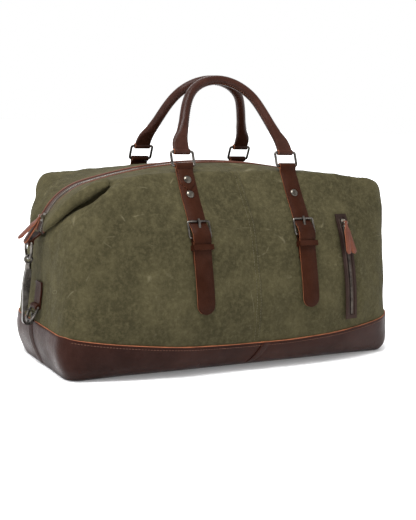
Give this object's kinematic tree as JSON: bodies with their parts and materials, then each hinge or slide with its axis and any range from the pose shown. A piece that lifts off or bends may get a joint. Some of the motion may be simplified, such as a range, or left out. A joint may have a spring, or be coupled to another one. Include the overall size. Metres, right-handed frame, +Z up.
{
  "type": "weekender bag",
  "caption": "Waxed canvas travel duffel on a leather base, with rolled handles on rings, buckled straps, top zip and a front zip pocket.",
  "frame": {"origin": "centre of the bag's footprint, on the plane it stands on", "axes": "+X along the bag's length, -Y towards the buckled front, +Z up"},
  "size_m": [0.6338, 0.3366, 0.4454],
  "materials": {
    "waxed_canvas": "waxed, matt, olive",
    "base_leather": "semi-gloss pull-up leather, dark brown",
    "bottom_leather": "satin",
    "piping_leather": "satin",
    "lining_cloth": "plain cotton",
    "stiffener_board": "matt",
    "zip_tape": "woven tape",
    "zip_metal": "antique",
    "trim_leather": "semi-gloss",
    "puller_leather": "semi-gloss, raw edges",
    "handle_leather": "semi-gloss",
    "strap_leather": "semi-gloss, raw edges",
    "hardware_metal": "antique nickel",
    "rivet_metal": "antique nickel"
  },
  "bodies": {
    "bag": {"anchor_tab_left": "strap_leather", "anchor_tab_right": "strap_leather", "base_board": "stiffener_board", "base_leather_back_left": "base_leather", "base_leather_back_right": "base_leather", "base_leather_front_left": "base_leather", "base_leather_front_right": "base_leather", "bottom_panel": "bottom_leather", "bottom_piping": "piping_leather", "canvas_back_left": "waxed_canvas", "canvas_back_right": "waxed_canvas", "canvas_front_left": "waxed_canvas", "canvas_front_right": "waxed_canvas", "chape_left": "strap_leather", "chape_right": "strap_leather", "lining": "lining_cloth", "main_zip_tape_back": "zip_tape", "main_zip_tape_front": "zip_tape", "main_zip_teeth_back": "zip_metal", "main_zip_teeth_front": "zip_metal", "main_zip_trim_back": "trim_leather", "main_zip_trim_front": "trim_leather", "pocket_bag": "lining_cloth", "pocket_zip_tape": "zip_tape", "pocket_zip_teeth": "zip_metal", "pocket_zip_trim": "trim_leather", "rivet_backs": "rivet_metal", "strap_back_left": "strap_leather", "strap_back_right": "strap_leather", "strap_front_left": "strap_leather", "strap_front_right": "strap_leather", "strap_keepers": "strap_leather", "strap_rivets": "rivet_metal", "zip_end_tab_left": "strap_leather", "zip_end_tab_right": "strap_leather"},
    "front_left_ring": {"ring_front_left": "hardware_metal"},
    "front_right_ring": {"ring_front_right": "hardware_metal"},
    "back_left_ring": {"ring_back_left": "hardware_metal"},
    "back_right_ring": {"ring_back_right": "hardware_metal"},
    "front_handle": {"handle_front": "handle_leather"},
    "back_handle": {"handle_back": "handle_leather"},
    "left_buckle": {"buckle_left": "hardware_metal"},
    "right_buckle": {"buckle_right": "hardware_metal"},
    "left_prong": {"buckle_prong_left": "hardware_metal"},
    "right_prong": {"buckle_prong_right": "hardware_metal"},
    "zip_slider": {"main_zip_slider": "zip_metal"},
    "zip_puller": {"main_zip_puller": "puller_leather"},
    "pocket_slider": {"pocket_zip_slider": "zip_metal"},
    "pocket_puller": {"pocket_zip_puller": "puller_leather"},
    "left_end_ring": {"end_ring_left": "hardware_metal"},
    "left_swivel": {"hook_swivel_left": "hardware_metal"},
    "left_snap_hook": {"snap_hook_left": "hardware_metal"},
    "left_gate": {"hook_gate_left": "hardware_metal"},
    "left_anchor_ring": {"anchor_ring_left": "hardware_metal"},
    "right_end_ring": {"end_ring_right": "hardware_metal"},
    "right_swivel": {"hook_swivel_right": "hardware_metal"},
    "right_snap_hook": {"snap_hook_right": "hardware_metal"},
    "right_gate": {"hook_gate_right": "hardware_metal"},
    "right_anchor_ring": {"anchor_ring_right": "hardware_metal"}
  },
  "joints": [
    {"name": "front_left_ring_swing", "type": "hinge", "parent": "bag", "child": "front_left_ring", "pos_m": [-0.092, -0.0785, 0.308], "axis": [1, 0, 0], "range_deg": [0, 90]},
    {"name": "front_right_ring_swing", "type": "hinge", "parent": "bag", "child": "front_right_ring", "pos_m": [0.092, -0.0785, 0.308], "axis": [1, 0, 0], "range_deg": [0, 90]},
    {"name": "front_handle_swing", "type": "hinge", "parent": "front_left_ring", "child": "front_handle", "pos_m": [0, -0.07062, 0.32854], "axis": [1, 0, 0], "range_deg": [0, 75]},
    {"name": "back_left_ring_swing", "type": "hinge", "parent": "bag", "child": "back_left_ring", "pos_m": [-0.092, 0.0785, 0.308], "axis": [-1, 0, 0], "range_deg": [0, 90]},
    {"name": "back_right_ring_swing", "type": "hinge", "parent": "bag", "child": "back_right_ring", "pos_m": [0.092, 0.0785, 0.308], "axis": [-1, 0, 0], "range_deg": [0, 90]},
    {"name": "back_handle_swing", "type": "hinge", "parent": "back_left_ring", "child": "back_handle", "pos_m": [0, 0.07062, 0.32854], "axis": [-1, 0, 0], "range_deg": [0, 75]},
    {"name": "left_buckle_lift", "type": "hinge", "parent": "bag", "child": "left_buckle", "pos_m": [-0.092, -0.14142, 0.2076], "axis": [1, 0, 0], "range_deg": [0, 12]},
    {"name": "left_prong_lift", "type": "hinge", "parent": "left_buckle", "child": "left_prong", "pos_m": [-0.092, -0.14142, 0.2076], "axis": [1, 0, 0], "range_deg": [0, 12]},
    {"name": "right_buckle_lift", "type": "hinge", "parent": "bag", "child": "right_buckle", "pos_m": [0.092, -0.14142, 0.2076], "axis": [1, 0, 0], "range_deg": [0, 12]},
    {"name": "right_prong_lift", "type": "hinge", "parent": "right_buckle", "child": "right_prong", "pos_m": [0.092, -0.14142, 0.2076], "axis": [1, 0, 0], "range_deg": [0, 12]},
    {"name": "zip_slider_travel", "type": "hinge", "parent": "bag", "child": "zip_slider", "pos_m": [-0.194, 0, 0.185], "axis": [0, 1, 0], "range_deg": [0, 50]},
    {"name": "zip_puller_swing", "type": "hinge", "parent": "zip_slider", "child": "zip_puller", "pos_m": [-0.28755, 0, 0.22665], "axis": [0, 1, 0], "range_deg": [0, 110]},
    {"name": "pocket_slider_travel", "type": "hinge", "parent": "bag", "child": "pocket_slider", "pos_m": [0.1003, 0.25588, 0.06002], "axis": [0.9848, 0.1736, 0], "range_deg": [0, 18.2]},
    {"name": "pocket_puller_swing", "type": "hinge", "parent": "pocket_slider", "child": "pocket_puller", "pos_m": [0.16956, -0.13688, 0.22275], "axis": [-0.9848, -0.1736, 0], "range_deg": [0, 100]},
    {"name": "left_end_ring_swing", "type": "hinge", "parent": "bag", "child": "left_end_ring", "pos_m": [-0.306, 0, 0.188], "axis": [0, 1, 0], "range_deg": [0, 10]},
    {"name": "left_swivel_tilt", "type": "hinge", "parent": "left_end_ring", "child": "left_swivel", "pos_m": [-0.306, 0, 0.164], "axis": [0, 1, 0], "range_deg": [-13.2, 0.5]},
    {"name": "left_hook_turn", "type": "hinge", "parent": "left_swivel", "child": "left_snap_hook", "pos_m": [-0.306, 0, 0.14], "axis": [0, 0, 1], "range_deg": [-15, 15]},
    {"name": "left_gate_open", "type": "hinge", "parent": "left_snap_hook", "child": "left_gate", "pos_m": [-0.3105, 0, 0.0877], "axis": [0, 1, 0], "range_deg": [0, 20], "stiffness_Nm_per_rad": 0.02},
    {"name": "left_anchor_ring_swing", "type": "hinge", "parent": "bag", "child": "left_anchor_ring", "pos_m": [-0.2943, 0, 0.09], "axis": [0, 1, 0], "range_deg": [-3, 3]},
    {"name": "right_end_ring_swing", "type": "hinge", "parent": "bag", "child": "right_end_ring", "pos_m": [0.306, 0, 0.188], "axis": [0, -1, 0], "range_deg": [0, 10]},
    {"name": "right_swivel_tilt", "type": "hinge", "parent": "right_end_ring", "child": "right_swivel", "pos_m": [0.306, 0, 0.164], "axis": [0, -1, 0], "range_deg": [-13.2, 0.5]},
    {"name": "right_hook_turn", "type": "hinge", "parent": "right_swivel", "child": "right_snap_hook", "pos_m": [0.306, 0, 0.14], "axis": [0, 0, 1], "range_deg": [-15, 15]},
    {"name": "right_gate_open", "type": "hinge", "parent": "right_snap_hook", "child": "right_gate", "pos_m": [0.3105, 0, 0.0877], "axis": [0, -1, 0], "range_deg": [0, 20], "stiffness_Nm_per_rad": 0.02},
    {"name": "right_anchor_ring_swing", "type": "hinge", "parent": "bag", "child": "right_anchor_ring", "pos_m": [0.2943, 0, 0.09], "axis": [0, -1, 0], "range_deg": [-3, 3]}
  ],
  "couplings": [
    {"joint": "front_right_ring_swing", "follows": "front_left_ring_swing", "ratio": 1},
    {"joint": "back_right_ring_swing", "follows": "back_left_ring_swing", "ratio": 1},
    {"joint": "left_swivel_tilt", "follows": "left_end_ring_swing", "ratio": -1.27},
    {"joint": "right_swivel_tilt", "follows": "right_end_ring_swing", "ratio": -1.27}
  ]
}
